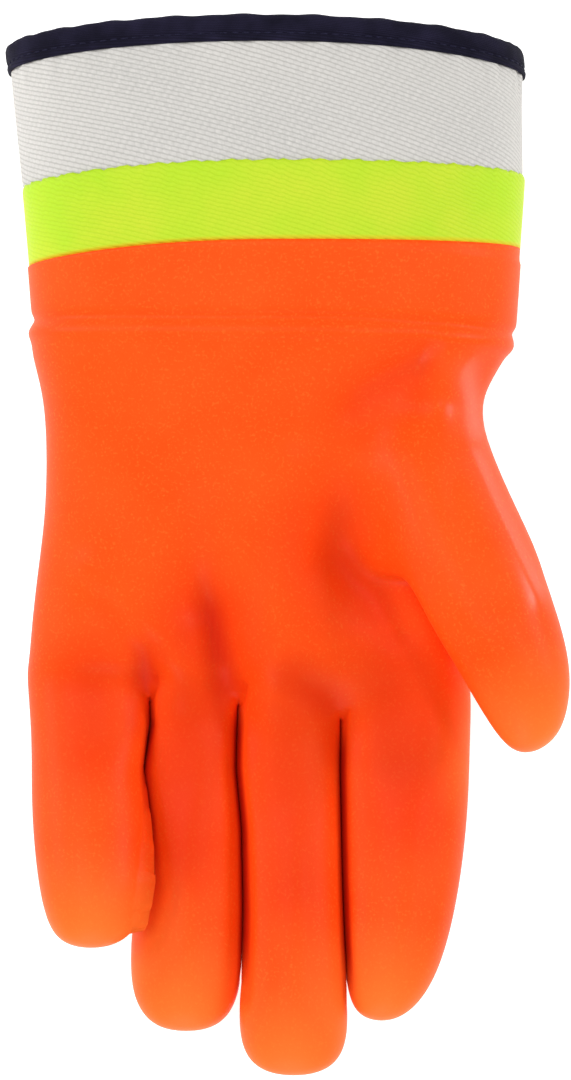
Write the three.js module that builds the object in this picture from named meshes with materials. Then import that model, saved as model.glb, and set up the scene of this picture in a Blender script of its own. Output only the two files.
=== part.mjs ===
// A coated work glove for the left hand, lying on its back with the palm up.
// +Z is up, +Y runs from the fingertips to the cuff's mouth, and the thumb is on the +X side.
// While the pieces are shaped, the wrist seam is at y = 0 and the floor at z = 0.
import * as THREE from 'three';

// Driving sizes in millimetres
const CUFF_LENGTH = 82; // wrist seam to the mouth's edge
const COAT_OVERLAP = 22.5; // how far the orange coat climbs the cuff above the seam
const STRIPE_WIDTH = 21; // the lime coat above the orange one
const MOUTH_WIDTH = 143.6;
const MOUTH_DEPTH = 66;
const SEAM_WIDTH = 136;
const SEAM_DEPTH = 57;
const PALM_LENGTH = 108; // wrist seam to the line where the fingers part
const PALM_WIDTH = 128; // across the four finger roots
const PALM_DEPTH = 35; // at the finger roots
const FINGER_DEPTH = 28; // palm side to back of a finger
const CURL = 20; // how far a fingertip rises off the floor
const SETTLE = 1.2; // how much of the round back is pressed flat on the floor
const THUMB_WIDTH = 33;
const THUMB_DEPTH = 29;
const THUMB_LENGTH = 74; // from the middle of its base to its tip

// Walls and clearances
const HAND_WALL = 3; // the padded lining with the coat on it
const COAT = 1; // the orange coat where it lies on the canvas
const STRIPE_COAT = 0.6;
const CANVAS = 1.6;
const TAPE = 1.5; // each leg of the folded binding
const BINDING_WIDTH = 7.5; // of each leg, along the cuff
const GAP = 0.3; // between pieces that touch
const SEAM_GROOVE = 0.35;
const SEAM_RIDGE = 0.7;
const SEAM_HEIGHT = 3; // of the groove, and of the ridge below it

// Depth of each layer under the skin, which is the orange coat's outer face
const CANVAS_TOP = COAT + GAP;
const CANVAS_UNDER = CANVAS_TOP + CANVAS;
const STRIPE_TOP = COAT - STRIPE_COAT;
const TAPE_TOP = COAT - TAPE;
const TAPE_UNDER = CANVAS_UNDER + GAP + TAPE;

// The cuff's main lines. height: above the seam; flare: share of the way from the seam's size to the
// mouth's; shift: the middle's place across the part, as a share of MOUTH_WIDTH; left, right: how far the
// line hangs at the two sides of the cuff, as shares of COAT_OVERLAP
const CUFF_LINES = {
  seam: { height: 0, flare: 0, shift: -0.0225, left: -0.06, right: 0.12 },
  coat: { height: COAT_OVERLAP, flare: 0.35, shift: -0.021, left: 0.22, right: -0.02 },
  stripe: { height: COAT_OVERLAP + STRIPE_WIDTH, flare: 0.74, shift: -0.023, left: 0.18, right: 0.03 },
  binding: { height: CUFF_LENGTH - BINDING_WIDTH, flare: 1.07, shift: -0.036, left: 0.15, right: 0.2 },
  mouth: { height: CUFF_LENGTH, flare: 1, shift: -0.0425, left: 0.14, right: 0.18 },
};
const CUFF_SQUARE = 2.3; // 2 is an ellipse, more is boxier

// Sections of the palm, from just below the seam to the finger roots. along: share of PALM_LENGTH;
// left, right: how far it reaches from the part's middle line, as shares of PALM_WIDTH; deep: share of
// PALM_DEPTH; square: as CUFF_SQUARE; fan: how far its columns have moved to the fingers' own lines;
// valley: how far the columns between the fingers sink, as a share of PALM_DEPTH
const PALM_SECTIONS = [
  { along: 0.05, left: 0.56, right: 0.494, deep: 1.63, square: 2.3, fan: 0, valley: 0 },
  { along: 0.13, left: 0.54, right: 0.45, deep: 1.54, square: 2.3, fan: 0, valley: 0 },
  { along: 0.22, left: 0.529, right: 0.424, deep: 1.46, square: 2.3, fan: 0.05, valley: 0 },
  { along: 0.35, left: 0.528, right: 0.42, deep: 1.34, square: 2.3, fan: 0.15, valley: 0 },
  { along: 0.49, left: 0.535, right: 0.41, deep: 1.22, square: 2.3, fan: 0.35, valley: 0 },
  { along: 0.62, left: 0.553, right: 0.404, deep: 1.12, square: 2.3, fan: 0.6, valley: 0.01 },
  { along: 0.75, left: 0.569, right: 0.41, deep: 1.06, square: 2.4, fan: 0.85, valley: 0.04 },
  { along: 0.87, left: 0.579, right: 0.418, deep: 1.02, square: 2.5, fan: 1, valley: 0.1 },
  { along: 0.97, left: 0.586, right: 0.426, deep: 0.97, square: 2.5, fan: 1, valley: 0.22 },
];

// The fingers. middle: the root's place from the part's middle line, as a share of PALM_WIDTH; length: from
// PALM_LENGTH to the tip; web: where the gap on the thumb side starts, as a share of PALM_LENGTH. In
// sections, along: share of the length; across: how far the middle has moved, and wide: the width, both as
// shares of width; deep: share of FINGER_DEPTH; lift: share of CURL
const FINGERS = [
  {
    middle: -0.436, width: 32, length: 66, web: 0.925,
    sections: [
      { along: 0.1, across: -0.01, wide: 1.01, deep: 1.02, lift: 0.24 },
      { along: 0.36, across: -0.02, wide: 0.98, deep: 0.98, lift: 0.52 },
      { along: 0.62, across: 0.02, wide: 0.95, deep: 0.96, lift: 0.8 },
      { along: 0.83, across: 0.06, wide: 0.87, deep: 0.88, lift: 1.02 },
      { along: 0.955, across: 0.05, wide: 0.6, deep: 0.6, lift: 1.26 },
    ],
  },
  {
    middle: -0.212, width: 31, length: 91, web: 0.94,
    sections: [
      { along: 0.08, across: 0, wide: 0.82, deep: 1, lift: 0.02 },
      { along: 0.28, across: -0.01, wide: 0.86, deep: 1, lift: 0.06 },
      { along: 0.5, across: -0.03, wide: 0.94, deep: 0.98, lift: 0.14 },
      { along: 0.71, across: -0.04, wide: 1.02, deep: 0.95, lift: 0.3 },
      { along: 0.87, across: -0.04, wide: 1.02, deep: 0.86, lift: 0.52 },
      { along: 0.97, across: -0.03, wide: 0.68, deep: 0.56, lift: 0.8 },
    ],
  },
  {
    middle: 0.006, width: 30.5, length: 102.5, web: 1,
    sections: [
      { along: 0.08, across: 0.01, wide: 0.92, deep: 1.04, lift: 0.1 },
      { along: 0.27, across: 0.03, wide: 0.91, deep: 1.02, lift: 0.2 },
      { along: 0.49, across: 0.05, wide: 0.91, deep: 1, lift: 0.38 },
      { along: 0.71, across: 0.045, wide: 0.95, deep: 0.96, lift: 0.62 },
      { along: 0.88, across: 0.05, wide: 1.05, deep: 0.86, lift: 0.84 },
      { along: 0.968, across: 0.05, wide: 0.76, deep: 0.58, lift: 1.1 },
    ],
  },
  {
    middle: 0.266, width: 37, length: 88, web: 1,
    sections: [
      { along: 0.08, across: 0.01, wide: 1.0, deep: 1.04, lift: 0.06 },
      { along: 0.27, across: 0.01, wide: 0.98, deep: 1.02, lift: 0.14 },
      { along: 0.48, across: -0.01, wide: 0.92, deep: 1, lift: 0.28 },
      { along: 0.68, across: -0.045, wide: 0.81, deep: 0.95, lift: 0.5 },
      { along: 0.85, across: -0.11, wide: 0.67, deep: 0.84, lift: 0.74 },
      { along: 0.955, across: -0.19, wide: 0.44, deep: 0.52, lift: 1.04 },
    ],
  },
];

// The thumb lies in front of the index root. In sections, along: share of THUMB_LENGTH from the base;
// across: how far the middle is from the straight line to the tip, and wide: the width, as shares of
// THUMB_WIDTH; up: how far the middle has risen from the base, and deep, as shares of THUMB_DEPTH;
// lean: degrees that the section leans back over the palm; roll: degrees that it turns about the thumb
// The base is in shares of PALM_WIDTH, PALM_LENGTH and PALM_DEPTH.
const THUMB_BASE = { across: 0.33, along: 0.44, up: 0.95 };
const THUMB_SPREAD = 23; // degrees from the fingers' direction
const THUMB_SECTIONS = [
  { along: 0.22, across: 0.06, wide: 1.2, up: 0.36, deep: 0.94, lean: 42, roll: 30 },
  { along: 0.42, across: 0.04, wide: 1.06, up: 0.42, deep: 0.96, lean: 18, roll: 20 },
  { along: 0.61, across: 0.06, wide: 0.94, up: 0.46, deep: 0.92, lean: 6, roll: 10 },
  { along: 0.8, across: 0.04, wide: 0.8, up: 0.48, deep: 0.84, lean: 0, roll: 4 },
  { along: 0.95, across: -0.03, wide: 0.52, up: 0.46, deep: 0.56, lean: 0, roll: 0 },
];
const THUMB_TIP = { across: -0.06, up: 0.44 };

// Hollows and ridges of the palm side. across, along: the middle, from the part's middle line and the
// seam; wide, long: the reach each way; all as shares of PALM_WIDTH and PALM_LENGTH; turn: degrees that its
// length is turned towards the thumb at its finger end; rise: share of PALM_DEPTH, negative for a hollow
const FOLDS = [
  { across: -0.17, along: 0.8, wide: 0.09, long: 0.26, turn: 6, rise: -0.14 },
  { across: -0.02, along: 0.78, wide: 0.08, long: 0.3, turn: -10, rise: 0.07 },
  { across: -0.34, along: 0.6, wide: 0.08, long: 0.26, turn: 45, rise: 0.06 },
  { across: 0.14, along: 0.56, wide: 0.09, long: 0.24, turn: 26, rise: -0.13 },
  { across: 0.26, along: 0.16, wide: 0.09, long: 0.22, turn: -62, rise: -0.12 },
];

const COLUMNS = 20; // control columns around the palm
const FINGER_POINTS = 8;
const THUMB_POINTS = 12;
const HOLE = { firstRow: 2, lastRow: 5, firstColumn: 0, lastColumn: 3 }; // where the thumb leaves the palm
const LITTLE_SIDE = COLUMNS / 2; // the column along the little finger's side; column 0 is on the thumb's
const SIDE_COLUMN = 0.7; // place of the columns beside these two, from a finger's middle to the palm's side
const TIP_RISE = 0.03; // of a fingertip's middle over its last section, as a share of CURL

const { sin, cos, abs, max, min, PI } = Math;
const radians = THREE.MathUtils.degToRad;
const lerp = THREE.MathUtils.lerp;

// How far outside its smooth curve a ring's control points lie, as a factor
function controlScale(points) {
  return 6 / (4 + 2 * cos((2 * PI) / points));
}

// Height of a boxy oval's edge over its middle, at a share u of its half width
function ovalHeight(u, square) {
  return (1 - min(abs(u), 1) ** square) ** (1 / square);
}

// The middle line of each finger's root and the lines between two fingers, across the part
function fingerLine(place) {
  const index = Math.floor(place / 2);
  const middle = (finger) => finger.middle * PALM_WIDTH;
  if (place % 2 === 0) return middle(FINGERS[index]);
  const little = FINGERS[index];
  const big = FINGERS[index + 1];
  const littleEdge = middle(little) + (little.width * little.sections[0].wide) / 2;
  const bigEdge = middle(big) - (big.width * big.sections[0].wide) / 2;
  return (littleEdge + bigEdge) / 2;
}

// Column numbers run from the thumb side over the palm side and back along the back of the hand
function columnLine(column, left, right) {
  const step = column > LITTLE_SIDE ? COLUMNS - column : column;
  const first = FINGERS[0];
  const last = FINGERS[FINGERS.length - 1];
  if (step === 0) return right;
  if (step === LITTLE_SIDE) return left;
  if (step === 1) return lerp(last.middle * PALM_WIDTH, right, SIDE_COLUMN);
  if (step === LITTLE_SIDE - 1) return lerp(first.middle * PALM_WIDTH, left, SIDE_COLUMN);
  return fingerLine(LITTLE_SIDE - 2 - step);
}

// 1 for a column on the palm side, -1 on the back, 0 for the two at the sides
function facingOf(column) {
  if (column % LITTLE_SIDE === 0) return 0;
  return column < LITTLE_SIDE ? 1 : -1;
}

function isBetweenFingers(column) {
  const step = column > LITTLE_SIDE ? COLUMNS - column : column;
  return step % 2 === 1 && step > 1 && step < LITTLE_SIDE - 1;
}

// The palm's last row dips to the webs, so its columns end at different places along the hand
function rootShare(column) {
  const step = column > LITTLE_SIDE ? COLUMNS - column : column;
  const place = (LITTLE_SIDE - 1 - step) / 2 - 1;
  const low = FINGERS[max(Math.floor(place), 0)].web;
  const high = FINGERS[min(max(Math.ceil(place), 0), FINGERS.length - 1)].web;
  return (low + high) / 2;
}

function palmPoint(section, column) {
  const angle = (2 * PI * column) / COLUMNS;
  const scale = controlScale(COLUMNS);
  const left = -section.left * PALM_WIDTH * scale;
  const right = section.right * PALM_WIDTH * scale;
  const middle = (left + right) / 2;
  const half = (right - left) / 2;
  const evenSpread = middle + half * cos(angle);
  const x = lerp(evenSpread, columnLine(column, left, right), section.fan);
  const rise = ovalHeight((x - middle) / half, section.square) * facingOf(column);
  const deep = section.deep * PALM_DEPTH * scale;
  const sunk = isBetweenFingers(column) ? section.valley * PALM_DEPTH : 0;
  const z = (section.deep * PALM_DEPTH) / 2 + rise * (deep / 2 - sunk);
  const isRoot = section === PALM_SECTIONS[PALM_SECTIONS.length - 1];
  const along = isRoot ? section.along - 1 + rootShare(column) : section.along;
  return new THREE.Vector3(x, -along * PALM_LENGTH, z);
}

function addRing(cage, points) {
  return points.map((point) => cage.points.push(point) - 1);
}

// Faces between two rings of the same number of points, the second nearer the fingertips
function bridge(cage, upper, lower) {
  upper.forEach((a, i) => {
    const next = (i + 1) % upper.length;
    cage.faces.push([a, upper[next], lower[next], lower[i]]);
  });
}

function addPalm(cage) {
  const isInHole = (row, column) =>
    row > HOLE.firstRow && row < HOLE.lastRow && column > HOLE.firstColumn && column < HOLE.lastColumn;
  const rows = PALM_SECTIONS.map((section, row) =>
    Array.from({ length: COLUMNS }, (_, column) => {
      if (isInHole(row, column)) return null;
      return cage.points.push(palmPoint(section, column)) - 1;
    }));
  for (let row = 0; row < rows.length - 1; row += 1) {
    for (let column = 0; column < COLUMNS; column += 1) {
      const next = (column + 1) % COLUMNS;
      const isOpen = row >= HOLE.firstRow && row < HOLE.lastRow
        && column >= HOLE.firstColumn && column < HOLE.lastColumn;
      const face = [rows[row][column], rows[row][next], rows[row + 1][next], rows[row + 1][column]];
      if (!isOpen) cage.faces.push(face);
    }
  }
  return rows;
}

function fingerPoints(finger, section) {
  const scale = controlScale(FINGER_POINTS);
  const x = finger.middle * PALM_WIDTH + section.across * finger.width;
  const y = -PALM_LENGTH - section.along * finger.length;
  const deep = section.deep * FINGER_DEPTH;
  const z = section.lift * CURL + deep / 2;
  return Array.from({ length: FINGER_POINTS }, (_, i) => {
    const angle = (2 * PI * i) / FINGER_POINTS;
    const side = x + (section.wide * finger.width * scale * cos(angle)) / 2;
    return new THREE.Vector3(side, y, z + (deep * scale * sin(angle)) / 2);
  });
}

function addFinger(cage, roots, webs, index) {
  const finger = FINGERS[index];
  const front = LITTLE_SIDE - 2 - 2 * index;
  const back = LITTLE_SIDE + 2 + 2 * index;
  const thumbSide = index === FINGERS.length - 1 ? roots[0] : webs[index];
  const littleSide = index === 0 ? roots[LITTLE_SIDE] : webs[index - 1];
  let ring = [thumbSide, roots[front - 1], roots[front], roots[front + 1], littleSide,
    roots[back - 1], roots[back], roots[back + 1]];
  finger.sections.forEach((section) => {
    const next = addRing(cage, fingerPoints(finger, section));
    bridge(cage, ring, next);
    ring = next;
  });
  const last = finger.sections[finger.sections.length - 1];
  const tip = new THREE.Vector3(
    finger.middle * PALM_WIDTH + last.across * finger.width,
    -PALM_LENGTH - finger.length,
    (last.lift + TIP_RISE) * CURL + (last.deep * FINGER_DEPTH) / 2,
  );
  const centre = cage.points.push(tip) - 1;
  for (let i = 0; i < FINGER_POINTS; i += 2) {
    cage.faces.push([ring[i], ring[i + 1], ring[(i + 2) % FINGER_POINTS], centre]);
  }
}

function addWebs(cage) {
  return FINGERS.slice(0, -1).map((finger, index) => {
    const x = fingerLine(2 * index + 1);
    return cage.points.push(new THREE.Vector3(x, -finger.web * PALM_LENGTH, PALM_DEPTH / 2)) - 1;
  });
}

// The thumb's own directions: along it, across it towards the outside, and up
const THUMB_ALONG = new THREE.Vector3(sin(radians(THUMB_SPREAD)), -cos(radians(THUMB_SPREAD)), 0);
const THUMB_ACROSS = new THREE.Vector3(cos(radians(THUMB_SPREAD)), sin(radians(THUMB_SPREAD)), 0);
const UP = new THREE.Vector3(0, 0, 1);

function thumbMiddle(along, across, up) {
  const base = new THREE.Vector3(
    THUMB_BASE.across * PALM_WIDTH,
    -THUMB_BASE.along * PALM_LENGTH,
    THUMB_BASE.up * PALM_DEPTH,
  );
  return base
    .addScaledVector(THUMB_ALONG, along * THUMB_LENGTH)
    .addScaledVector(THUMB_ACROSS, across * THUMB_WIDTH)
    .addScaledVector(UP, up * THUMB_DEPTH);
}

function thumbPoints(section) {
  const scale = controlScale(THUMB_POINTS);
  const middle = thumbMiddle(section.along, section.across, section.up);
  const tall = UP.clone().applyAxisAngle(THUMB_ACROSS, radians(-section.lean));
  const normal = new THREE.Vector3().crossVectors(tall, THUMB_ACROSS);
  const wide = THUMB_ACROSS.clone().applyAxisAngle(normal, radians(section.roll));
  const high = tall.clone().applyAxisAngle(normal, radians(section.roll));
  return Array.from({ length: THUMB_POINTS }, (_, i) => {
    const angle = (2 * PI * (i - 0.5)) / THUMB_POINTS;
    return middle.clone()
      .addScaledVector(wide, (section.wide * THUMB_WIDTH * scale * cos(angle)) / 2)
      .addScaledVector(high, (section.deep * THUMB_DEPTH * scale * sin(angle)) / 2);
  });
}

// The edge of the palm's opening, counter-clockwise as seen from outside, from its thumb side
function holeRing(rows) {
  const [r0, r1, r2, r3] = rows.slice(HOLE.firstRow, HOLE.lastRow + 1);
  return [r2[0], r1[0], r0[0], r0[1], r0[2], r0[3], r1[3], r2[3], r3[3], r3[2], r3[1], r3[0]];
}

function addThumb(cage, rows) {
  let ring = holeRing(rows);
  THUMB_SECTIONS.forEach((section) => {
    const next = addRing(cage, thumbPoints(section));
    bridge(cage, ring, next);
    ring = next;
  });
  const last = THUMB_SECTIONS[THUMB_SECTIONS.length - 1];
  const tip = thumbMiddle(1, THUMB_TIP.across, THUMB_TIP.up);
  const inner = [5, 2, 8, 11].map((corner) => {
    const angle = (2 * PI * (corner - 0.5)) / THUMB_POINTS;
    return cage.points.push(tip.clone()
      .addScaledVector(THUMB_ACROSS, (last.wide * THUMB_WIDTH * cos(angle)) / 4)
      .addScaledVector(UP, (last.deep * THUMB_DEPTH * sin(angle)) / 4)) - 1;
  });
  const grid = [
    [ring[5], ring[4], ring[3], ring[2]],
    [ring[6], inner[0], inner[1], ring[1]],
    [ring[7], inner[2], inner[3], ring[0]],
    [ring[8], ring[9], ring[10], ring[11]],
  ];
  for (let i = 0; i < 3; i += 1) {
    for (let j = 0; j < 3; j += 1) {
      cage.faces.push([grid[i][j], grid[i + 1][j], grid[i + 1][j + 1], grid[i][j + 1]]);
    }
  }
}

function handCage() {
  const cage = { points: [], faces: [] };
  const rows = addPalm(cage);
  const webs = addWebs(cage);
  const roots = rows[rows.length - 1];
  FINGERS.forEach((finger, index) => addFinger(cage, roots, webs, index));
  addThumb(cage, rows);
  return cage;
}

function edgeKey(a, b) {
  return `${min(a, b)}_${max(a, b)}`;
}

function middleOf(points) {
  const total = new THREE.Vector3();
  points.forEach((point) => total.add(point));
  return total.divideScalar(points.length);
}

function edgesOf(mesh) {
  const edges = new Map();
  mesh.faces.forEach((face, index) => {
    face.forEach((a, i) => {
      const b = face[(i + 1) % face.length];
      const key = edgeKey(a, b);
      if (!edges.has(key)) edges.set(key, { ends: [a, b], faces: [] });
      edges.get(key).faces.push(index);
    });
  });
  return edges;
}

// One round of Catmull-Clark subdivision; an open edge becomes a cubic spline
function subdivide(mesh) {
  const edges = edgesOf(mesh);
  const around = mesh.points.map(() => ({ faces: [], edges: [], open: [] }));
  const faceMiddles = mesh.faces.map((face) => middleOf(face.map((i) => mesh.points[i])));
  mesh.faces.forEach((face, index) => face.forEach((i) => around[i].faces.push(faceMiddles[index])));
  const points = mesh.points.map((point) => point.clone());
  const facePlaces = faceMiddles.map((middle) => points.push(middle) - 1);
  const edgePlaces = new Map();
  edges.forEach((edge, key) => {
    const ends = edge.ends.map((i) => mesh.points[i]);
    const middle = middleOf(ends);
    const isOpen = edge.faces.length === 1;
    edge.ends.forEach((i, side) => {
      around[i].edges.push(middle);
      if (isOpen) around[i].open.push(ends[1 - side]);
    });
    const smooth = isOpen ? middle : middleOf([...ends, ...edge.faces.map((i) => faceMiddles[i])]);
    edgePlaces.set(key, points.push(smooth.clone()) - 1);
  });
  mesh.points.forEach((point, index) => {
    const near = around[index];
    const count = near.faces.length;
    if (near.open.length > 0) {
      points[index].multiplyScalar(0.75).addScaledVector(middleOf(near.open), 0.25);
    } else {
      points[index].multiplyScalar((count - 3) / count)
        .addScaledVector(middleOf(near.faces), 1 / count)
        .addScaledVector(middleOf(near.edges), 2 / count);
    }
  });
  const faces = [];
  mesh.faces.forEach((face, index) => {
    face.forEach((corner, i) => {
      const after = face[(i + 1) % face.length];
      const before = face[(i + face.length - 1) % face.length];
      faces.push([corner, edgePlaces.get(edgeKey(corner, after)), facePlaces[index],
        edgePlaces.get(edgeKey(before, corner))]);
    });
  });
  return { points, faces };
}

// Moves each point to where endless subdivision would take it
function toLimit(mesh) {
  const near = mesh.points.map(() => ({ sides: [], corners: [], open: [] }));
  mesh.faces.forEach((face) => {
    face.forEach((corner, i) => {
      near[corner].sides.push(mesh.points[face[(i + 1) % 4]], mesh.points[face[(i + 3) % 4]]);
      near[corner].corners.push(mesh.points[face[(i + 2) % 4]]);
    });
  });
  edgesOf(mesh).forEach((edge) => {
    if (edge.faces.length > 1) return;
    edge.ends.forEach((i, side) => near[i].open.push(mesh.points[edge.ends[1 - side]]));
  });
  const points = mesh.points.map((point, index) => {
    const { sides, corners, open } = near[index];
    const count = corners.length;
    if (open.length > 0) return point.clone().multiplyScalar(2 / 3).addScaledVector(middleOf(open), 1 / 3);
    return point.clone().multiplyScalar(count / (count + 5))
      .addScaledVector(middleOf(sides), 4 / (count + 5))
      .addScaledVector(middleOf(corners), 1 / (count + 5));
  });
  return { points, faces: mesh.faces };
}

function normalsOf(mesh) {
  const normals = mesh.points.map(() => new THREE.Vector3());
  mesh.faces.forEach((face) => {
    const [a, b, c, d] = face.map((i) => mesh.points[i]);
    const facing = c.clone().sub(a).cross(d.clone().sub(b));
    face.forEach((i) => normals[i].add(facing));
  });
  return normals.map((normal) => normal.normalize());
}

// The points around an open edge, in the order of its columns
function openLoop(mesh, start) {
  const edges = edgesOf(mesh);
  const next = new Map();
  mesh.faces.forEach((face) => {
    face.forEach((a, i) => {
      const b = face[(i + 1) % face.length];
      if (edges.get(edgeKey(a, b)).faces.length === 1) next.set(a, b);
    });
  });
  const loop = [start];
  while (next.get(loop[loop.length - 1]) !== start) loop.push(next.get(loop[loop.length - 1]));
  return loop;
}

function foldRise(point, fold) {
  const x = point.x - fold.across * PALM_WIDTH;
  const y = -point.y - fold.along * PALM_LENGTH;
  const turn = radians(fold.turn);
  const over = (x * cos(turn) - y * sin(turn)) / (fold.wide * PALM_WIDTH);
  const along = (x * sin(turn) + y * cos(turn)) / (fold.long * PALM_LENGTH);
  return fold.rise * PALM_DEPTH * Math.exp(-(over * over + along * along));
}

function isOnThumb(point) {
  return point.x > THUMB_BASE.across * PALM_WIDTH && point.z > THUMB_BASE.up * PALM_DEPTH + THUMB_DEPTH / 4;
}

// The hand's outer face, creased on the palm side and pressed flat where it lies on the floor
function handSkin() {
  const skin = toLimit(subdivide(handCage()));
  const normals = normalsOf(skin);
  skin.points.forEach((point, index) => {
    const facing = max(normals[index].z, 0);
    if (!isOnThumb(point)) FOLDS.forEach((fold) => { point.z += facing * foldRise(point, fold); });
    point.z = max(point.z - SETTLE, 0);
  });
  return skin;
}

// Triangles of a closed mesh, each four-sided face cut along its shorter diagonal
function toGeometry(mesh) {
  const geometry = new THREE.BufferGeometry();
  geometry.setAttribute('position', new THREE.Float32BufferAttribute(
    mesh.points.flatMap((point) => point.toArray()), 3));
  geometry.setIndex(mesh.faces.flatMap(([a, b, c, d]) => {
    const straight = mesh.points[a].distanceTo(mesh.points[c]) <= mesh.points[b].distanceTo(mesh.points[d]);
    return straight ? [a, b, c, a, c, d] : [a, b, d, b, c, d];
  }));
  geometry.computeVertexNormals();
  return geometry;
}

const CUFF_COLUMNS = 2 * COLUMNS;
const HAND = handSkin();
const HAND_EDGE = openLoop(HAND, 0);

// A ring of control points rounded to its smooth curve, with twice as many points
function smoothRing(controls) {
  const count = controls.length;
  const fine = controls.flatMap((point, i) => {
    const after = controls[(i + 1) % count];
    const before = controls[(i + count - 1) % count];
    const corner = point.clone().multiplyScalar(0.75).addScaledVector(middleOf([before, after]), 0.25);
    return [corner, middleOf([point, after])];
  });
  return fine.map((point, i) => {
    const sides = [fine[(i + 1) % fine.length], fine[(i + fine.length - 1) % fine.length]];
    return point.clone().multiplyScalar(2 / 3).addScaledVector(middleOf(sides), 1 / 3);
  });
}

function lineRing(line) {
  const scale = controlScale(COLUMNS);
  const width = lerp(SEAM_WIDTH, MOUTH_WIDTH, line.flare) * scale;
  const deep = lerp(SEAM_DEPTH, MOUTH_DEPTH, line.flare);
  const middle = line.shift * MOUTH_WIDTH;
  const low = line === CUFF_LINES.seam ? 0 : -TAPE_TOP;
  const ring = smoothRing(Array.from({ length: COLUMNS }, (_, column) => {
    const angle = (2 * PI * column) / COLUMNS;
    const share = cos(angle);
    const hang = (share > 0 ? line.right : line.left) * share * share * COAT_OVERLAP;
    const rise = ovalHeight(share, CUFF_SQUARE) * facingOf(column);
    const z = low + deep / 2 + (rise * deep * scale) / 2;
    return new THREE.Vector3(middle + (share * width) / 2, line.height - hang, z);
  }));
  ring.forEach((point) => { point.z = max(point.z - SETTLE, low); });
  return ring;
}

const LINE_RINGS = Object.values(CUFF_LINES).map(lineRing);
const HAND_RING = HAND_EDGE.map((i) => HAND.points[i]);

// A ring of the skin at a height above the seam, or below it when negative. The height is measured beside
// the nearest main line under it, so rings keep their place along a line that hangs at the sides
function skinRing(line, offset) {
  const order = Object.values(CUFF_LINES);
  const index = order.indexOf(line);
  if (offset < 0 && index === 0) {
    const share = -offset / (PALM_SECTIONS[0].along * PALM_LENGTH);
    return LINE_RINGS[0].map((point, i) => point.clone().lerp(HAND_RING[i], share));
  }
  const other = offset < 0 ? index - 1 : min(index + 1, order.length - 1);
  const span = abs(order[other].height - line.height);
  if (span === 0) return LINE_RINGS[index].map((point) => point.clone());
  return LINE_RINGS[index].map((point, i) => point.clone().lerp(LINE_RINGS[other][i], abs(offset) / span));
}

// The ring pushed inwards, square to its own outline
function sunkRing(ring, depth) {
  return ring.map((point, i) => {
    const after = ring[(i + 1) % ring.length];
    const before = ring[(i + ring.length - 1) % ring.length];
    const outward = new THREE.Vector3(after.z - before.z, 0, before.x - after.x).normalize();
    return point.clone().addScaledVector(outward, -depth);
  });
}

function pressedFlat(ring) {
  ring.forEach((point) => { point.z = max(point.z, 0); });
  return ring;
}

function layerRing(line, offset, depth) {
  return sunkRing(skinRing(line, offset), depth);
}

// A band swept once around the cuff: its rings go around the band's own section, outer face downwards first
function sweptBand(rings) {
  const mesh = { points: [], faces: [] };
  const places = rings.map((ring) => addRing(mesh, ring));
  places.forEach((place, i) => bridge(mesh, place, places[(i + 1) % places.length]));
  return mesh;
}

const group = new THREE.Group();
const COLORS = { orange: 0xfb5a1a, lime: 0xc4e446, canvas: 0xcfccc4, navy: 0x1c1c2c };

function addPiece(name, mesh, color, roughness) {
  const material = new THREE.MeshStandardMaterial({ color, roughness, metalness: 0 });
  const piece = new THREE.Mesh(toGeometry(mesh), material);
  piece.name = name;
  group.add(piece);
}

const { seam, coat, stripe, binding, mouth } = CUFF_LINES;

// The orange hand: the coat's edge on the cuff, the seam's groove and ridge, the hand, and then the same
// way back inside, with a ledge that the canvas stands on
function handShell() {
  const mesh = { points: HAND.points.map((point) => point.clone()), faces: [...HAND.faces] };
  const outer = [
    layerRing(coat, 0, 0),
    layerRing(seam, SEAM_HEIGHT, 0),
    layerRing(seam, SEAM_HEIGHT / 3, SEAM_GROOVE),
    layerRing(seam, -SEAM_HEIGHT / 2, -SEAM_RIDGE),
  ].map((ring) => addRing(mesh, pressedFlat(ring)));
  const inner = [
    layerRing(coat, 0, COAT),
    layerRing(seam, 0, COAT),
    layerRing(seam, 0, HAND_WALL),
  ].map((ring) => addRing(mesh, ring));
  const normals = normalsOf(HAND);
  const inside = HAND.points.map((point, index) =>
    mesh.points.push(point.clone().addScaledVector(normals[index], -HAND_WALL)) - 1);
  HAND.faces.forEach((face) => mesh.faces.push([...face].reverse().map((i) => inside[i])));
  const chain = [
    HAND_EDGE.map((i) => inside[i]), ...inner.reverse(), ...outer, HAND_EDGE,
  ];
  for (let i = 0; i < chain.length - 1; i += 1) bridge(mesh, chain[i], chain[i + 1]);
  return mesh;
}

function cuffCanvas() {
  const edge = -(TAPE + GAP);
  return sweptBand([
    layerRing(mouth, edge, CANVAS_TOP),
    layerRing(binding, 0, CANVAS_TOP),
    layerRing(stripe, 0, CANVAS_TOP),
    layerRing(coat, 0, CANVAS_TOP),
    layerRing(seam, GAP, CANVAS_TOP),
    layerRing(seam, GAP, CANVAS_UNDER),
    layerRing(coat, 0, CANVAS_UNDER),
    layerRing(stripe, 0, CANVAS_UNDER),
    layerRing(binding, 0, CANVAS_UNDER),
    layerRing(mouth, edge, CANVAS_UNDER),
  ]);
}

function limeBand() {
  return sweptBand([
    layerRing(stripe, 0, STRIPE_TOP),
    layerRing(coat, GAP, STRIPE_TOP),
    layerRing(coat, GAP, COAT),
    layerRing(stripe, 0, COAT),
  ]);
}

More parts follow.
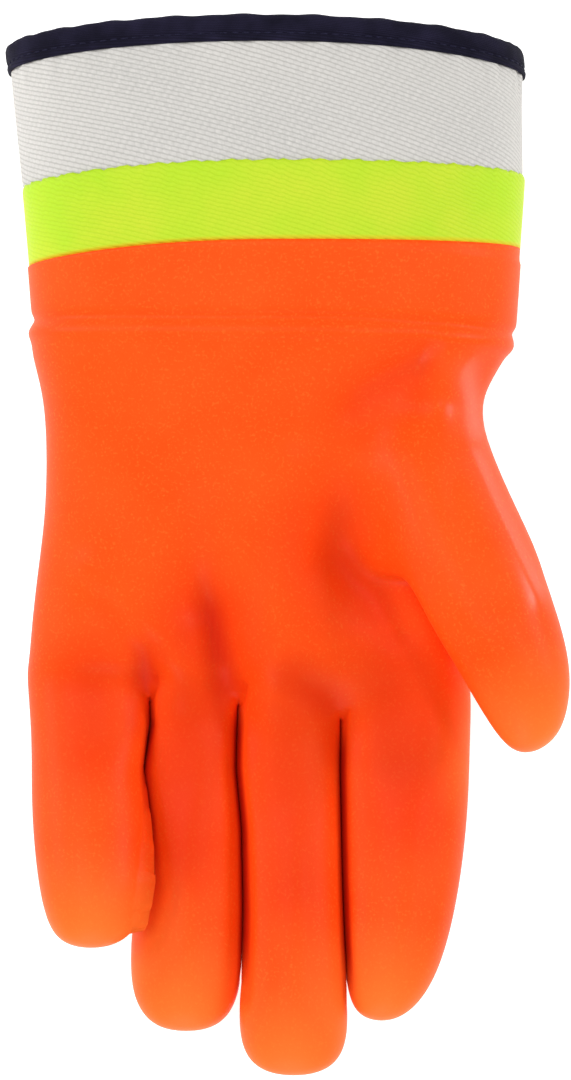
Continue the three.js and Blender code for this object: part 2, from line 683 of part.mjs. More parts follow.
// Tape folded over the mouth's edge, with rounded shoulders
function rimBinding() {
  const fold = -(TAPE / 3);
  return sweptBand([
    layerRing(mouth, 0, TAPE_TOP + TAPE),
    layerRing(mouth, fold, TAPE_TOP),
    layerRing(binding, 0, TAPE_TOP),
    layerRing(binding, 0, COAT),
    layerRing(mouth, -TAPE, COAT),
    layerRing(mouth, -TAPE, CANVAS_UNDER + GAP),
    layerRing(binding, 0, CANVAS_UNDER + GAP),
    layerRing(binding, 0, TAPE_UNDER),
    layerRing(mouth, fold, TAPE_UNDER),
    layerRing(mouth, 0, TAPE_UNDER - TAPE),
  ]);
}

addPiece('hand_shell', handShell(), COLORS.orange, 0.55);
addPiece('cuff_canvas', cuffCanvas(), COLORS.canvas, 0.95);
addPiece('lime_band', limeBand(), COLORS.lime, 0.7);
addPiece('rim_binding', rimBinding(), COLORS.navy, 0.9);

// The origin is on the floor, under the middle of the whole glove
const bounds = new THREE.Box3().setFromObject(group);
const centre = bounds.getCenter(new THREE.Vector3());
group.position.set(-centre.x, -centre.y, -bounds.min.z);

export default group;
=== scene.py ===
# %% [markdown]
# A coated work glove lies on its back with the palm up and its thumb to the right. The orange hand is
# a cloth glove dipped in soft vinyl. Its cuff is a tube of twill canvas, part of it coated lime, with a
# navy tape folded over the mouth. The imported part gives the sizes, and this file dresses it.

import bpy
import numpy as np
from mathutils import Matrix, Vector


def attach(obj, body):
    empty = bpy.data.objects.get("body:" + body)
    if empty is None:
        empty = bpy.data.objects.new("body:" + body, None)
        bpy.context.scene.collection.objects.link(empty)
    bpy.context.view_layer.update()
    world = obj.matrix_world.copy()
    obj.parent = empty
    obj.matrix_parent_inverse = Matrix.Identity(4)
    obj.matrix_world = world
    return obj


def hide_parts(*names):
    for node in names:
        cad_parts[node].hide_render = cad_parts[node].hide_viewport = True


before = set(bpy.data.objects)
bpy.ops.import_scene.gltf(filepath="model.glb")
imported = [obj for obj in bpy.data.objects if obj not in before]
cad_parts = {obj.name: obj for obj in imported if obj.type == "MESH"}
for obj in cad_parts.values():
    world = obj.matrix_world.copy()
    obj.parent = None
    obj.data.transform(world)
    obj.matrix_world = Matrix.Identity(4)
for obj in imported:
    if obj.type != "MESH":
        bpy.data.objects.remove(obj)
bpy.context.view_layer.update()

# %% [markdown]
# The pieces are shaped in millimetres, with the wrist seam at y = 0, and moved to the part's own frame
# at the end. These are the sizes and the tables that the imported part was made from, so that both agree.

# %% Sizes and tables
MM = 0.001
# From the wrist seam's middle to the part's own origin
ORIGIN = np.array([0.2309, 63.3962, 0.0])
CUFF_LENGTH, COAT_OVERLAP, STRIPE_WIDTH, BINDING_WIDTH = 82, 22.5, 21, 7.5
MOUTH_WIDTH, MOUTH_DEPTH, SEAM_WIDTH, SEAM_DEPTH = 143.6, 66, 136, 57
PALM_LENGTH, PALM_WIDTH, PALM_DEPTH = 108, 128, 35
# SETTLE is how far the round back sinks flat onto what the glove lies on
FINGER_DEPTH, CURL, SETTLE = 28, 20, 1.2
THUMB_WIDTH, THUMB_DEPTH, THUMB_LENGTH = 33, 29, 74
HAND_WALL, COAT, CUFF_SQUARE = 3.0, 1.0, 2.3
COLUMNS, FINGER_POINTS, THUMB_POINTS = 20, 8, 12

# height, flare, shift, hang at the left, hang at the right
CUFF_LINES = {
    "seam": (0, 0, -0.0225, -0.06, 0.12),
    "coat": (COAT_OVERLAP, 0.35, -0.021, 0.22, -0.02),
    "stripe": (COAT_OVERLAP + STRIPE_WIDTH, 0.74, -0.023, 0.18, 0.03),
    "binding": (CUFF_LENGTH - BINDING_WIDTH, 1.07, -0.036, 0.15, 0.2),
    "mouth": (CUFF_LENGTH, 1, -0.0425, 0.14, 0.18),
}
# along, left, right, deep, square, fan, valley
PALM_SECTIONS = [
    (0.05, 0.56, 0.494, 1.63, 2.3, 0, 0),
    (0.13, 0.54, 0.45, 1.54, 2.3, 0, 0),
    (0.22, 0.529, 0.424, 1.46, 2.3, 0.05, 0),
    (0.35, 0.528, 0.42, 1.34, 2.3, 0.15, 0),
    (0.49, 0.535, 0.41, 1.22, 2.3, 0.35, 0),
    (0.62, 0.553, 0.404, 1.12, 2.3, 0.6, 0.01),
    (0.75, 0.569, 0.41, 1.06, 2.4, 0.85, 0.04),
    (0.87, 0.579, 0.418, 1.02, 2.5, 1, 0.1),
    (0.97, 0.586, 0.426, 0.97, 2.5, 1, 0.22),
]
# middle, width, length, web, then sections of along, across, wide, deep, lift
FINGERS = [
    (-0.436, 32, 66, 0.925, [
        (0.1, -0.01, 1.01, 1.02, 0.24), (0.36, -0.02, 0.98, 0.98, 0.52), (0.62, 0.02, 0.95, 0.96, 0.8),
        (0.83, 0.06, 0.87, 0.88, 1.02), (0.955, 0.05, 0.6, 0.6, 1.26)]),
    (-0.212, 31, 91, 0.94, [
        (0.08, 0, 0.82, 1, 0.02), (0.28, -0.01, 0.86, 1, 0.06), (0.5, -0.03, 0.94, 0.98, 0.14),
        (0.71, -0.04, 1.02, 0.95, 0.3), (0.87, -0.04, 1.02, 0.86, 0.52),
        (0.97, -0.03, 0.68, 0.56, 0.8)]),
    (0.006, 30.5, 102.5, 1, [
        (0.08, 0.01, 0.92, 1.04, 0.1), (0.27, 0.03, 0.91, 1.02, 0.2), (0.49, 0.05, 0.91, 1, 0.38),
        (0.71, 0.045, 0.95, 0.96, 0.62), (0.88, 0.05, 1.05, 0.86, 0.84),
        (0.968, 0.05, 0.76, 0.58, 1.1)]),
    (0.266, 37, 88, 1, [
        (0.08, 0.01, 1.0, 1.04, 0.06), (0.27, 0.01, 0.98, 1.02, 0.14), (0.48, -0.01, 0.92, 1, 0.28),
        (0.68, -0.045, 0.81, 0.95, 0.5), (0.85, -0.11, 0.67, 0.84, 0.74),
        (0.955, -0.19, 0.44, 0.52, 1.04)]),
]
# Shares of the palm's width, length and depth
THUMB_BASE = (0.33, 0.44, 0.95)
THUMB_SPREAD = np.radians(23)
# along, across, wide, up, deep, lean, roll
THUMB_SECTIONS = [
    (0.22, 0.06, 1.2, 0.36, 0.94, 42, 30), (0.42, 0.04, 1.06, 0.42, 0.96, 18, 20),
    (0.61, 0.06, 0.94, 0.46, 0.92, 6, 10), (0.8, 0.04, 0.8, 0.48, 0.84, 0, 4),
    (0.95, -0.03, 0.52, 0.46, 0.56, 0, 0),
]
THUMB_TIP = (-0.06, 0.44)
HALF = COLUMNS // 2

# %% [markdown]
# A dipped glove has no sharp edges, so its skin is a smooth surface drawn from a coarse net of points:
# 20 columns round the palm, 8 round each finger and 12 round the thumb, which grows out of a hole three
# cells wide in the palm's net. A net of quads takes a Subdivision Surface well, and each finger joins
# the palm without a seam, as it does in the dipped coat.


# %% The net of the hand
def control_scale(count):
    """How much wider than the smooth ring its net of control points has to be."""
    return 6 / (4 + 2 * np.cos(2 * np.pi / count))


def oval_height(u, square):
    return (1 - np.minimum(abs(u), 1) ** square) ** (1 / square)


def facing_of(column):
    return 0 if column % HALF == 0 else (1 if column < HALF else -1)


def step_of(column):
    return COLUMNS - column if column > HALF else column


def finger_line(place):
    little = FINGERS[place // 2]
    if place % 2 == 0:
        return little[0] * PALM_WIDTH
    big = FINGERS[place // 2 + 1]
    edge = little[0] * PALM_WIDTH + little[1] * little[4][0][2] / 2
    return (edge + big[0] * PALM_WIDTH - big[1] * big[4][0][2] / 2) / 2


def column_line(column, left, right):
    step = step_of(column)
    ends = {0: right, HALF: left,
            1: 0.3 * FINGERS[-1][0] * PALM_WIDTH + 0.7 * right,
            HALF - 1: 0.3 * FINGERS[0][0] * PALM_WIDTH + 0.7 * left}
    return ends[step] if step in ends else finger_line(HALF - 2 - step)


def root_share(column):
    place = (HALF - 1 - step_of(column)) / 2 - 1
    low = FINGERS[max(int(np.floor(place)), 0)][3]
    high = FINGERS[min(max(int(np.ceil(place)), 0), len(FINGERS) - 1)][3]
    return (low + high) / 2


def palm_point(row, column):
    along, left, right, deep, square, fan, valley = PALM_SECTIONS[row]
    scale = control_scale(COLUMNS)
    left, right = -left * PALM_WIDTH * scale, right * PALM_WIDTH * scale
    middle, half = (left + right) / 2, (right - left) / 2
    even = middle + half * np.cos(2 * np.pi * column / COLUMNS)
    x = even + (column_line(column, left, right) - even) * fan
    step = step_of(column)
    between = step % 2 == 1 and 1 < step < HALF - 1
    rise = oval_height((x - middle) / half, square) * facing_of(column)
    dip = valley * PALM_DEPTH if between else 0
    z = deep * PALM_DEPTH / 2 + rise * (deep * PALM_DEPTH * scale / 2 - dip)
    if row == len(PALM_SECTIONS) - 1:
        along += root_share(column) - 1
    return (x, -along * PALM_LENGTH, z)


def line_controls(name):
    height, flare, shift, left, right = CUFF_LINES[name]
    scale = control_scale(COLUMNS)
    width = (SEAM_WIDTH + (MOUTH_WIDTH - SEAM_WIDTH) * flare) * scale
    deep = SEAM_DEPTH + (MOUTH_DEPTH - SEAM_DEPTH) * flare
    low = 0 if name == "seam" else 0.5
    ring = []
    for column in range(COLUMNS):
        share = np.cos(2 * np.pi * column / COLUMNS)
        hang = (right if share > 0 else left) * share * share * COAT_OVERLAP
        rise = oval_height(share, CUFF_SQUARE) * facing_of(column)
        ring.append((shift * MOUTH_WIDTH + share * width / 2, height - hang,
                     low + deep / 2 + rise * deep * scale / 2))
    return np.array(ring)


class Net:
    def __init__(self):
        self.points, self.faces = [], []

    def add(self, points):
        start = len(self.points)
        self.points += [tuple(p) for p in points]
        return list(range(start, len(self.points)))

    def bridge(self, upper, lower):
        for i, a in enumerate(upper):
            j = (i + 1) % len(upper)
            self.faces.append((a, upper[j], lower[j], lower[i]))


def net_of_hand():
    net = Net()
    seam, coat = line_controls("seam"), line_controls("coat")
    cuff = [net.add(seam + (coat - seam) * share) for share in (1, 0.66, 0.33, 0.08)]
    hole_rows, hole_columns = range(3, 5), range(1, 3)
    rows = [[None if r in hole_rows and c in hole_columns else net.add([palm_point(r, c)])[0]
             for c in range(COLUMNS)] for r in range(len(PALM_SECTIONS))]
    for upper, lower in zip(cuff, cuff[1:] + [rows[0]]):
        net.bridge(upper, lower)
    for r in range(len(rows) - 1):
        for c in range(COLUMNS):
            n = (c + 1) % COLUMNS
            if not (2 <= r < 5 and c < 3):
                net.faces.append((rows[r][c], rows[r][n], rows[r + 1][n], rows[r + 1][c]))
    webs = [net.add([(finger_line(2 * i + 1), -FINGERS[i][3] * PALM_LENGTH, PALM_DEPTH / 2)])[0]
            for i in range(3)]
    roots = rows[-1]
    for i, (middle, width, length, _, sections) in enumerate(FINGERS):
        front, back = HALF - 2 - 2 * i, HALF + 2 + 2 * i
        ring = [roots[0] if i == 3 else webs[i], roots[front - 1], roots[front], roots[front + 1],
                roots[HALF] if i == 0 else webs[i - 1],
                roots[back - 1], roots[back], roots[(back + 1) % COLUMNS]]
        scale = control_scale(FINGER_POINTS)
        turn = 2 * np.pi * np.arange(FINGER_POINTS) / FINGER_POINTS
        for along, across, wide, deep, lift in sections:
            deep *= FINGER_DEPTH
            x = middle * PALM_WIDTH + across * width + wide * width * scale * np.cos(turn) / 2
            z = lift * CURL + deep / 2 + deep * scale * np.sin(turn) / 2
            y = np.full(FINGER_POINTS, -PALM_LENGTH - along * length)
            following = net.add(np.stack([x, y, z], 1))
            net.bridge(ring, following)
            ring = following
        tip = net.add([(middle * PALM_WIDTH + across * width, -PALM_LENGTH - length,
                        (lift + 0.03) * CURL + deep / 2)])[0]
        net.faces += [(ring[k], ring[k + 1], ring[(k + 2) % FINGER_POINTS], tip)
                      for k in range(0, FINGER_POINTS, 2)]
    add_thumb(net, rows)
    return net


def turned(vector, axis, degrees):
    a = np.radians(degrees)
    along = axis * np.dot(axis, vector) * (1 - np.cos(a))
    return vector * np.cos(a) + np.cross(axis, vector) * np.sin(a) + along


def add_thumb(net, rows):
    out = np.array([np.cos(THUMB_SPREAD), np.sin(THUMB_SPREAD), 0])
    ahead = np.array([np.sin(THUMB_SPREAD), -np.cos(THUMB_SPREAD), 0])
    up = np.array([0.0, 0.0, 1.0])
    base = np.array(THUMB_BASE) * (PALM_WIDTH, -PALM_LENGTH, PALM_DEPTH)
    r0, r1, r2, r3 = rows[2:6]
    ring = [r2[0], r1[0], r0[0], r0[1], r0[2], r0[3], r1[3], r2[3], r3[3], r3[2], r3[1], r3[0]]
    angles = 2 * np.pi * (np.arange(THUMB_POINTS) - 0.5) / THUMB_POINTS
    scale = control_scale(THUMB_POINTS)
    for along, across, wide, rise, deep, lean, roll in THUMB_SECTIONS:
        middle = base + ahead * along * THUMB_LENGTH + out * across * THUMB_WIDTH
        middle += up * rise * THUMB_DEPTH
        tall = turned(up, out, -lean)
        normal = np.cross(tall, out)
        w, h = turned(out, normal, roll), turned(tall, normal, roll)
        following = net.add([middle + w * wide * THUMB_WIDTH * scale * np.cos(a) / 2
                             + h * deep * THUMB_DEPTH * scale * np.sin(a) / 2 for a in angles])
        net.bridge(ring, following)
        ring = following
    tip = base + ahead * THUMB_LENGTH + out * THUMB_TIP[0] * THUMB_WIDTH
    tip += up * THUMB_TIP[1] * THUMB_DEPTH
    inner = net.add([tip + out * wide * THUMB_WIDTH * np.cos(angles[k]) / 4
                     + up * deep * THUMB_DEPTH * np.sin(angles[k]) / 4 for k in (5, 2, 8, 11)])
    grid = [[ring[5], ring[4], ring[3], ring[2]], [ring[6], inner[0], inner[1], ring[1]],
            [ring[7], inner[2], inner[3], ring[0]], [ring[8], ring[9], ring[10], ring[11]]]
    for i in range(3):
        for j in range(3):
            net.faces.append((grid[i][j], grid[i + 1][j], grid[i + 1][j + 1], grid[i][j + 1]))


net = net_of_hand()
print("net of the hand:", len(net.points), "points,", len(net.faces), "quads")

# %% [markdown]
# Three rounds of subdivision give quads of about 2 mm, fine enough for every fold. The result is read as
# numbers, because the folds, the seam and the inner wall are then plain sums on its points.


# %% Subdivide the net
def mesh_object(name, points, faces):
    mesh = bpy.data.meshes.new(name)
    mesh.from_pydata([tuple(p) for p in points], [], [tuple(f) for f in faces])
    piece = bpy.data.objects.new(name, mesh)
    bpy.context.scene.collection.objects.link(piece)
    return piece


def finished(piece):
    """The object with its modifiers turned into plain mesh."""
    graph = bpy.context.evaluated_depsgraph_get()
    mesh = bpy.data.meshes.new_from_object(piece.evaluated_get(graph))
    piece.modifiers.clear()
    piece.data = mesh
    return piece


def points_of(mesh):
    co = np.empty(len(mesh.vertices) * 3)
    mesh.vertices.foreach_get("co", co)
    return co.reshape(-1, 3)


def quads_of(mesh):
    return np.array([p.vertices[:] for p in mesh.polygons])


coarse = mesh_object("net", net.points, net.faces)
smooth = coarse.modifiers.new("smooth", "SUBSURF")
smooth.levels = smooth.render_levels = 3
finished(coarse)
skin, quads = points_of(coarse.data), quads_of(coarse.data)
bpy.data.objects.remove(coarse)
print("skin:", len(skin), "points", "from", skin.min(0).round(1), "to", skin.max(0).round(1))


# %% [markdown]
# The folds of the soft coat are strokes. Each is a short path over the palm side with a reach and a rise
# in millimetres, negative for a crease. Points near the path move up or down on a smooth bell curve.
# The fingers of a soft glove lie pressed against each other, so their sides are moved together first.


# %% Folds and creases
def normals_of(points, quads):
    a, b, c, d = (points[quads[:, k]] for k in range(4))
    facing = np.cross(c - a, d - b)
    normals = np.zeros_like(points)
    for k in range(4):
        np.add.at(normals, quads[:, k], facing)
    return normals / np.maximum(np.linalg.norm(normals, axis=1), 1e-9)[:, None]


def distance_to_path(points, path):
    best = np.full(len(points), 1e9)
    for a, b in zip(path, path[1:]):
        a, b = np.array(a, float), np.array(b, float)
        t = np.clip(((points[:, :2] - a) @ (b - a)) / ((b - a) @ (b - a)), 0, 1)
        best = np.minimum(best, np.linalg.norm(points[:, :2] - a - t[:, None] * (b - a), axis=1))
    return best


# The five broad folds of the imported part: across, along, wide, long, turn, rise as shares
BROAD_FOLDS = [
    (-0.17, 0.8, 0.09, 0.26, 6, -0.14), (-0.02, 0.78, 0.08, 0.3, -10, 0.07),
    (-0.34, 0.6, 0.08, 0.26, 45, 0.06), (0.14, 0.56, 0.09, 0.24, 26, -0.13),
    (0.26, 0.16, 0.09, 0.22, -62, -0.12),
]
# path in mm, reach, rise
STROKES = [
    ([(50, -8), (38, -10), (28, -14), (18, -22)], 5.0, -1.7),
    ([(46, -16), (36, -19), (25, -26)], 4.5, 0.9),
    ([(35, -23), (28, -27), (22, -34)], 5.0, -1.3),
    ([(53, -11), (56, -20), (57, -28)], 3.0, -1.0),
    ([(2, -38), (0, -60), (-6, -84), (-8, -102)], 6.0, 1.6),
    ([(10, -30), (16, -52), (20, -70)], 9.0, -1.2),
    ([(-22, -52), (-24, -74)], 9.0, -1.0),
    ([(-55, -66), (-40, -80), (-34, -92)], 4.5, 1.4),
    ([(-50, -76), (-44, -88), (-37, -97)], 5.0, -1.4),
    ([(-24, -72), (-17, -90), (-13, -100)], 5.0, -1.4),
    ([(12, -64), (26, -70), (33, -84)], 6.0, -1.6),
    ([(20, -58), (34, -76), (46, -92)], 3.4, 0.9),
    ([(-38, -90), (-40, -103)], 5.0, -1.8),
    ([(-20, -80), (-15, -108)], 7.0, -2.0),
    ([(5, -100), (12, -104), (15, -112)], 5.5, -1.7),
    ([(-27, -84), (-29, -102)], 5.0, 1.2),
    ([(-55, -104), (-54, -112)], 9.0, -1.8),
    ([(-29, -112), (-29, -126)], 8.5, -1.8),
    ([(1, -116), (1, -132)], 8.5, -1.8),
    ([(31, -104), (33, -120)], 9.5, -2.0),
]
# Painted shade, darker and redder, along the finger valleys and folds: path in mm, reach, strength
PAINTED_SHADE_PATHS = [
    ([(-55, -98), (-54, -116)], 14, 0.5),
    ([(-27, -104), (-29, -145)], 15, 0.6),
    ([(0, -110), (2, -155)], 14, 0.5),
    ([(31, -98), (34, -135)], 17, 0.5),
    ([(-38, -93), (-40, -110)], 8, 0.65),
    ([(-22, -84), (-17, -94), (-15, -116)], 15, 0.6),
    ([(2, -98), (15, -108), (15, -118)], 9, 0.6),
    ([(8, -62), (24, -74)], 17, 0.35),
    ([(46, -9), (32, -12), (20, -21)], 10, 0.25),
]
# Where the coat is smooth enough to gleam
GLOSS = [
    ([(49, -12), (51, -19), (53, -27)], 4.5, 1.0),
    ([(52, -37), (57, -49), (63, -63), (68, -71)], 4, 1.0),
    ([(36, -11), (22, -17)], 4, 0.3),
]
THUMB_STROKES = [
    ([(52, -36), (57, -49), (63, -63), (69, -74)], 3.2, 0.9),
    ([(60, -34), (66, -50), (72, -66)], 4.0, -0.9),
    ([(46, -44), (49, -56), (56, -74)], 4.5, -0.9),
]


def smooth_step(value):
    t = np.clip(value, 0, 1)
    return t * t * (3 - 2 * t)


def thumb_share(points):
    """1 on the thumb and 0 on the palm, with a soft change between them."""
    across = smooth_step((points[:, 0] - THUMB_BASE[0] * PALM_WIDTH + 6) / 10)
    up = smooth_step((points[:, 2] - THUMB_BASE[2] * PALM_DEPTH - 3) / 9)
    return across * up


def finger_side(finger, y, side):
    """Where a finger's side runs along it: side is 1 towards the thumb and -1 away from it."""
    middle, width, length, _, sections = finger
    places = [-PALM_LENGTH - s[0] * length for s in sections]
    edges = [middle * PALM_WIDTH + s[1] * width + side * s[2] * width / 2 for s in sections]
    return np.interp(y, places[::-1], edges[::-1])


# Where each pair of fingers meets, as (y, x) from the palm down, and how far down they rest together
MEETING = [
    ([(-98, -40.0), (-111, -39.4), (-124, -41.2), (-141, -39.9), (-154, -39.9), (-163, -41.2),
      (-172, -42.6)], -166),
    ([(-98, -14.8), (-124, -14.6), (-141, -12.9), (-163, -12.3), (-190, -12.6)], -182),
    ([(-98, 15.0), (-124, 15.0), (-154, 15.6), (-171, 16.2), (-190, 17.4)], -184),
]
# The meeting leans by a share of the height. The gap left, the press and a crease's size are in mm
MEETING_LEAN, MEETING_GAP, PRESSED = 0.3, 0.1, 0.7
CREASE_REACH, CREASE_DEPTH = 1.7, 5


def meeting_line(pair, y):
    places, _ = MEETING[pair]
    ys, xs = zip(*places[::-1])
    return np.interp(y, ys, xs)


def middle_height(finger, y):
    """The height of a finger's middle at a place along it."""
    _, _, length, _, sections = finger
    places = [-PALM_LENGTH - s[0] * length for s in sections]
    return np.interp(y, places[::-1], [s[4] * CURL + s[3] * FINGER_DEPTH / 2 for s in sections][::-1])


def with_fingers_closed(points):
    """Press neighbouring fingers together on a leaning line, so that no light comes up between them.

    Returns the moved points and a mask that is 1 in the creases, where the material paints shade.
    """
    moved = points.copy()
    crease = np.zeros(len(points))
    x, y, z = points.T
    for i, (_, touch) in enumerate(MEETING):
        little, big = FINGERS[i], FINGERS[i + 1]
        left, right = little[0] * PALM_WIDTH, big[0] * PALM_WIDTH
        edge_a, edge_b = finger_side(little, y, 1), finger_side(big, y, -1)
        web = -PALM_LENGTH * little[3]
        share = smooth_step((web + 3 - y) / 9) * smooth_step((y - touch + 8) / 20)
        level = (middle_height(little, y) + middle_height(big, y)) / 2
        line = meeting_line(i, y) + MEETING_LEAN * (z - level)
        here = (z < PALM_DEPTH + 12) & (y < web + 3)
        parting = (edge_a + edge_b) / 2
        on_a, on_b = here & (x > left) & (x <= parting), here & (x < right) & (x > parting)
        out_a = smooth_step((x - left) / np.maximum(edge_a - left, 1))
        out_b = smooth_step((right - x) / np.maximum(right - edge_b, 1))
        push_a = (meeting_line(i, y) - edge_a + PRESSED) * share * out_a
        push_b = (edge_b - meeting_line(i, y) + PRESSED) * share * out_b
        limit = np.where(share > 0.02, MEETING_GAP / 2, -99)
        moved[:, 0] = np.where(on_a, np.minimum(x + push_a, line - limit), moved[:, 0])
        moved[:, 0] = np.where(on_b, np.maximum(x - push_b, line + limit), moved[:, 0])
        lowered = meeting_line(i, y) + MEETING_LEAN * np.clip(z - level, -CREASE_DEPTH, CREASE_DEPTH)
        near = np.exp(-((abs(moved[:, 0] - lowered) / CREASE_REACH) ** 2))
        near *= smooth_step((level + 11 - z) / 6)
        near *= share * smooth_step((web - 1 - y) / 12) * (on_a | on_b)
        crease = np.maximum(crease, near)
        print("fingers", i, "and", i + 1, "meet:", int((near > 0.9).sum()), "points on the crease")
    return moved, crease


def with_folds(points, normals):
    moved = points.copy()
    facing = np.maximum(normals[:, 2], 0)
    on_thumb = thumb_share(points)
    for across, along, wide, long, turn, rise in BROAD_FOLDS:
        x = points[:, 0] - across * PALM_WIDTH
        y = -points[:, 1] - along * PALM_LENGTH
        t = np.radians(turn)
        over = (x * np.cos(t) - y * np.sin(t)) / (wide * PALM_WIDTH)
        down = (x * np.sin(t) + y * np.cos(t)) / (long * PALM_LENGTH)
        moved[:, 2] += (1 - on_thumb) * facing * rise * PALM_DEPTH * np.exp(-(over**2 + down**2))
    for strokes, where in ((STROKES, 1 - on_thumb), (THUMB_STROKES, on_thumb)):
        for path, reach, rise in strokes:
            bell = np.exp(-((distance_to_path(points, path) / reach) ** 2))
            moved += normals * (where * facing * rise * bell)[:, None]
    return moved


SEAM_MIDDLE = -3.2


def seam_height(points):
    """Height over the wrist seam, which hangs a little at the two sides."""
    share = np.clip((points[:, 0] - SEAM_MIDDLE) / (SEAM_WIDTH / 2), -1, 1)
    left, right = CUFF_LINES["seam"][3:]
    return points[:, 1] + np.where(share > 0, right, left) * share**2 * COAT_OVERLAP


def seam_profile(height):
    """A groove above the seam, a ridge below it, and the coat's thin edge on the cuff."""
    groove = -0.8 * np.exp(-(((height - 1.9) / 1.4) ** 2))
    ridge = 0.85 * np.exp(-(((height + 1.9) / 2.0) ** 2))
    edge = -0.45 * np.clip((height - COAT_OVERLAP + 1.2) / 1.2, 0, 1) ** 2
    return groove + ridge + edge


def relaxed(points, quads, rounds):
    """The points after their neighbours have pulled them to a flatter shape."""
    ends = np.concatenate([quads[:, [k, (k + 1) % 4]] for k in range(4)])
    count = np.zeros(len(points))
    np.add.at(count, ends[:, 0], 1)
    np.add.at(count, ends[:, 1], 1)
    result = points.copy()
    for _ in range(rounds):
        total = np.zeros_like(points)
        np.add.at(total, ends[:, 0], result[ends[:, 1]])
        np.add.at(total, ends[:, 1], result[ends[:, 0]])
        result = 0.4 * result + 0.6 * total / count[:, None]
    return result


skin, crease = with_fingers_closed(skin)
base_normals = normals_of(skin, quads)
outer = with_folds(skin, base_normals)
height = seam_height(skin)
outer += base_normals * seam_profile(height)[:, None]
outer[:, 2] = np.maximum(outer[:, 2] - SETTLE, 0)
print("folded skin reaches", outer.min(0).round(1), outer.max(0).round(1))

# %% [markdown]
# The coat's painted shade, painted light and gleam sit in four masks. Hollows and creases are painted
# darker and redder as painted shade, as light bouncing from orange to orange makes them, and the
# fingertips are painted yellower as a painted rim light. The fourth says where the coat is smooth enough
# to gleam. They come from the shape and from short paths, and are kept on the points, so that they stay
# put in every view.

# %% Masks from the shape
wide_average = relaxed(outer, quads, 60)
outer_normals = normals_of(outer, quads)
sunk = ((wide_average - outer) * outer_normals).sum(1)
# How deep a place has to lie under its surroundings, in mm, to count as all hollow
FULLY_SUNK = 13.0
# Painted shade: the hollow mask darkens and reddens the coat where it lies sunk
hollow = np.clip(sunk / FULLY_SUNK, 0, 0.4)
# Painted shade along these paths, on faces turned up, is added to the hollow mask
painted_shade = np.zeros(len(outer))
for path, reach, strength in PAINTED_SHADE_PATHS:
    bell = strength * np.exp(-((distance_to_path(outer, path) / reach) ** 2))
    painted_shade = np.maximum(painted_shade, bell * np.maximum(outer_normals[:, 2], 0))
painted_shade *= 1 - thumb_share(outer)
hollow = np.clip(hollow + painted_shade, 0, 1)
GLEAM_ABOVE = 15
gloss = np.zeros(len(outer))
for path, reach, strength in GLOSS:
    bell = strength * np.exp(-((distance_to_path(outer, path) / reach) ** 2))
    gloss = np.maximum(gloss, bell * (outer[:, 2] > GLEAM_ABOVE))
gloss *= smooth_step((outer_normals[:, 2] - 0.3) / 0.4)
# Painted rim light: the fingertips and thumb tip are painted brighter and yellower
THUMB_TIP_PLACE, TIP_REACH = (72.5, -118), 34
tips = [(f[0] * PALM_WIDTH + f[4][-1][1] * f[1], -PALM_LENGTH - f[2]) for f in FINGERS]
tips.append(THUMB_TIP_PLACE)
nearest = np.min([np.hypot(outer[:, 0] - x, outer[:, 1] - y) for x, y in tips], axis=0)
painted_tip_light = np.clip(1 - nearest / TIP_REACH, 0, 1) ** 1.2
print("hollow mask from", hollow.min().round(2), "to", hollow.max().round(2))


# %% [markdown]
# The wall of the hand is a padded cloth with its coat, 3 mm in all. A Solidify would do it, but the wall
# is only 1 mm where the coat runs over the canvas, so the inner skin is the outer one moved in by a
# depth that depends on the place. A strip of quads closes the edge between the two.


# %% The hand
def open_loop(quads, start):
    ahead = {}
    for q in quads:
        for k in range(4):
            ahead[(q[k], q[(k + 1) % 4])] = True
    following = {a: b for (a, b) in ahead if (b, a) not in ahead}
    loop = [start]
    while following[loop[-1]] != start:
        loop.append(following[loop[-1]])
    return loop


def set_mask(piece, name, values):
    mask = piece.data.attributes.new(name, "FLOAT", "POINT")
    mask.data.foreach_set("value", np.asarray(values, np.float32))


def shade_smooth(piece):
    piece.data.polygons.foreach_set("use_smooth", np.ones(len(piece.data.polygons), bool))


def placed(points):
    return (np.asarray(points) + ORIGIN) * MM


CANVAS_START = 0.4
wall = np.where(height > CANVAS_START, COAT, HAND_WALL)
inner_normals = normals_of(relaxed(outer, quads, 4), quads)
inner = outer - inner_normals * wall[:, None]
count = len(outer)
loop = open_loop(quads, 0)
rim = [(b, a, a + count, b + count) for a, b in zip(loop, loop[1:] + loop[:1])]
outside_faces = [tuple(q) for q in quads]
inside_faces = [tuple(int(i) + count for i in q[::-1]) for q in quads]
both_skins = placed(np.concatenate([outer, inner]))
hand = mesh_object("orange_hand", both_skins, outside_faces + inside_faces + rim)
# The hollow and crease masks carry painted shade and the tip mask a painted rim light; gloss is the coat's
# own gleam
for name, mask in (("hollow", hollow), ("tip", painted_tip_light), ("gloss", gloss), ("crease", crease)):
    set_mask(hand, name, np.concatenate([mask, mask * 0]))
shade_smooth(hand)
print("orange_hand:", len(hand.data.polygons), "quads")

# %% [markdown]
# The cuff is a stack of thin tubes on one skin: canvas below, the lime coat on it and the folded tape
# over its mouth. Each tube is a grid, so it can be drawn from rings at a height and a depth under that
# skin. The grid also gives the cloth its own flat coordinates, in metres, for the weave.

# %% The cuff's skin
ROUND = 320


def spline_ring(controls, count):
    """The smooth closed curve of a ring of control points."""
    n = len(controls)
    t = np.arange(count) * n / count
    i, f = np.floor(t).astype(int), (t % 1)[:, None]
    p = [controls[(i + k) % n] for k in (-1, 0, 1, 2)]
    return ((1 - f) ** 3 * p[0] + (3 * f**3 - 6 * f**2 + 4) * p[1]
            + (-3 * f**3 + 3 * f**2 + 3 * f + 1) * p[2] + f**3 * p[3]) / 6


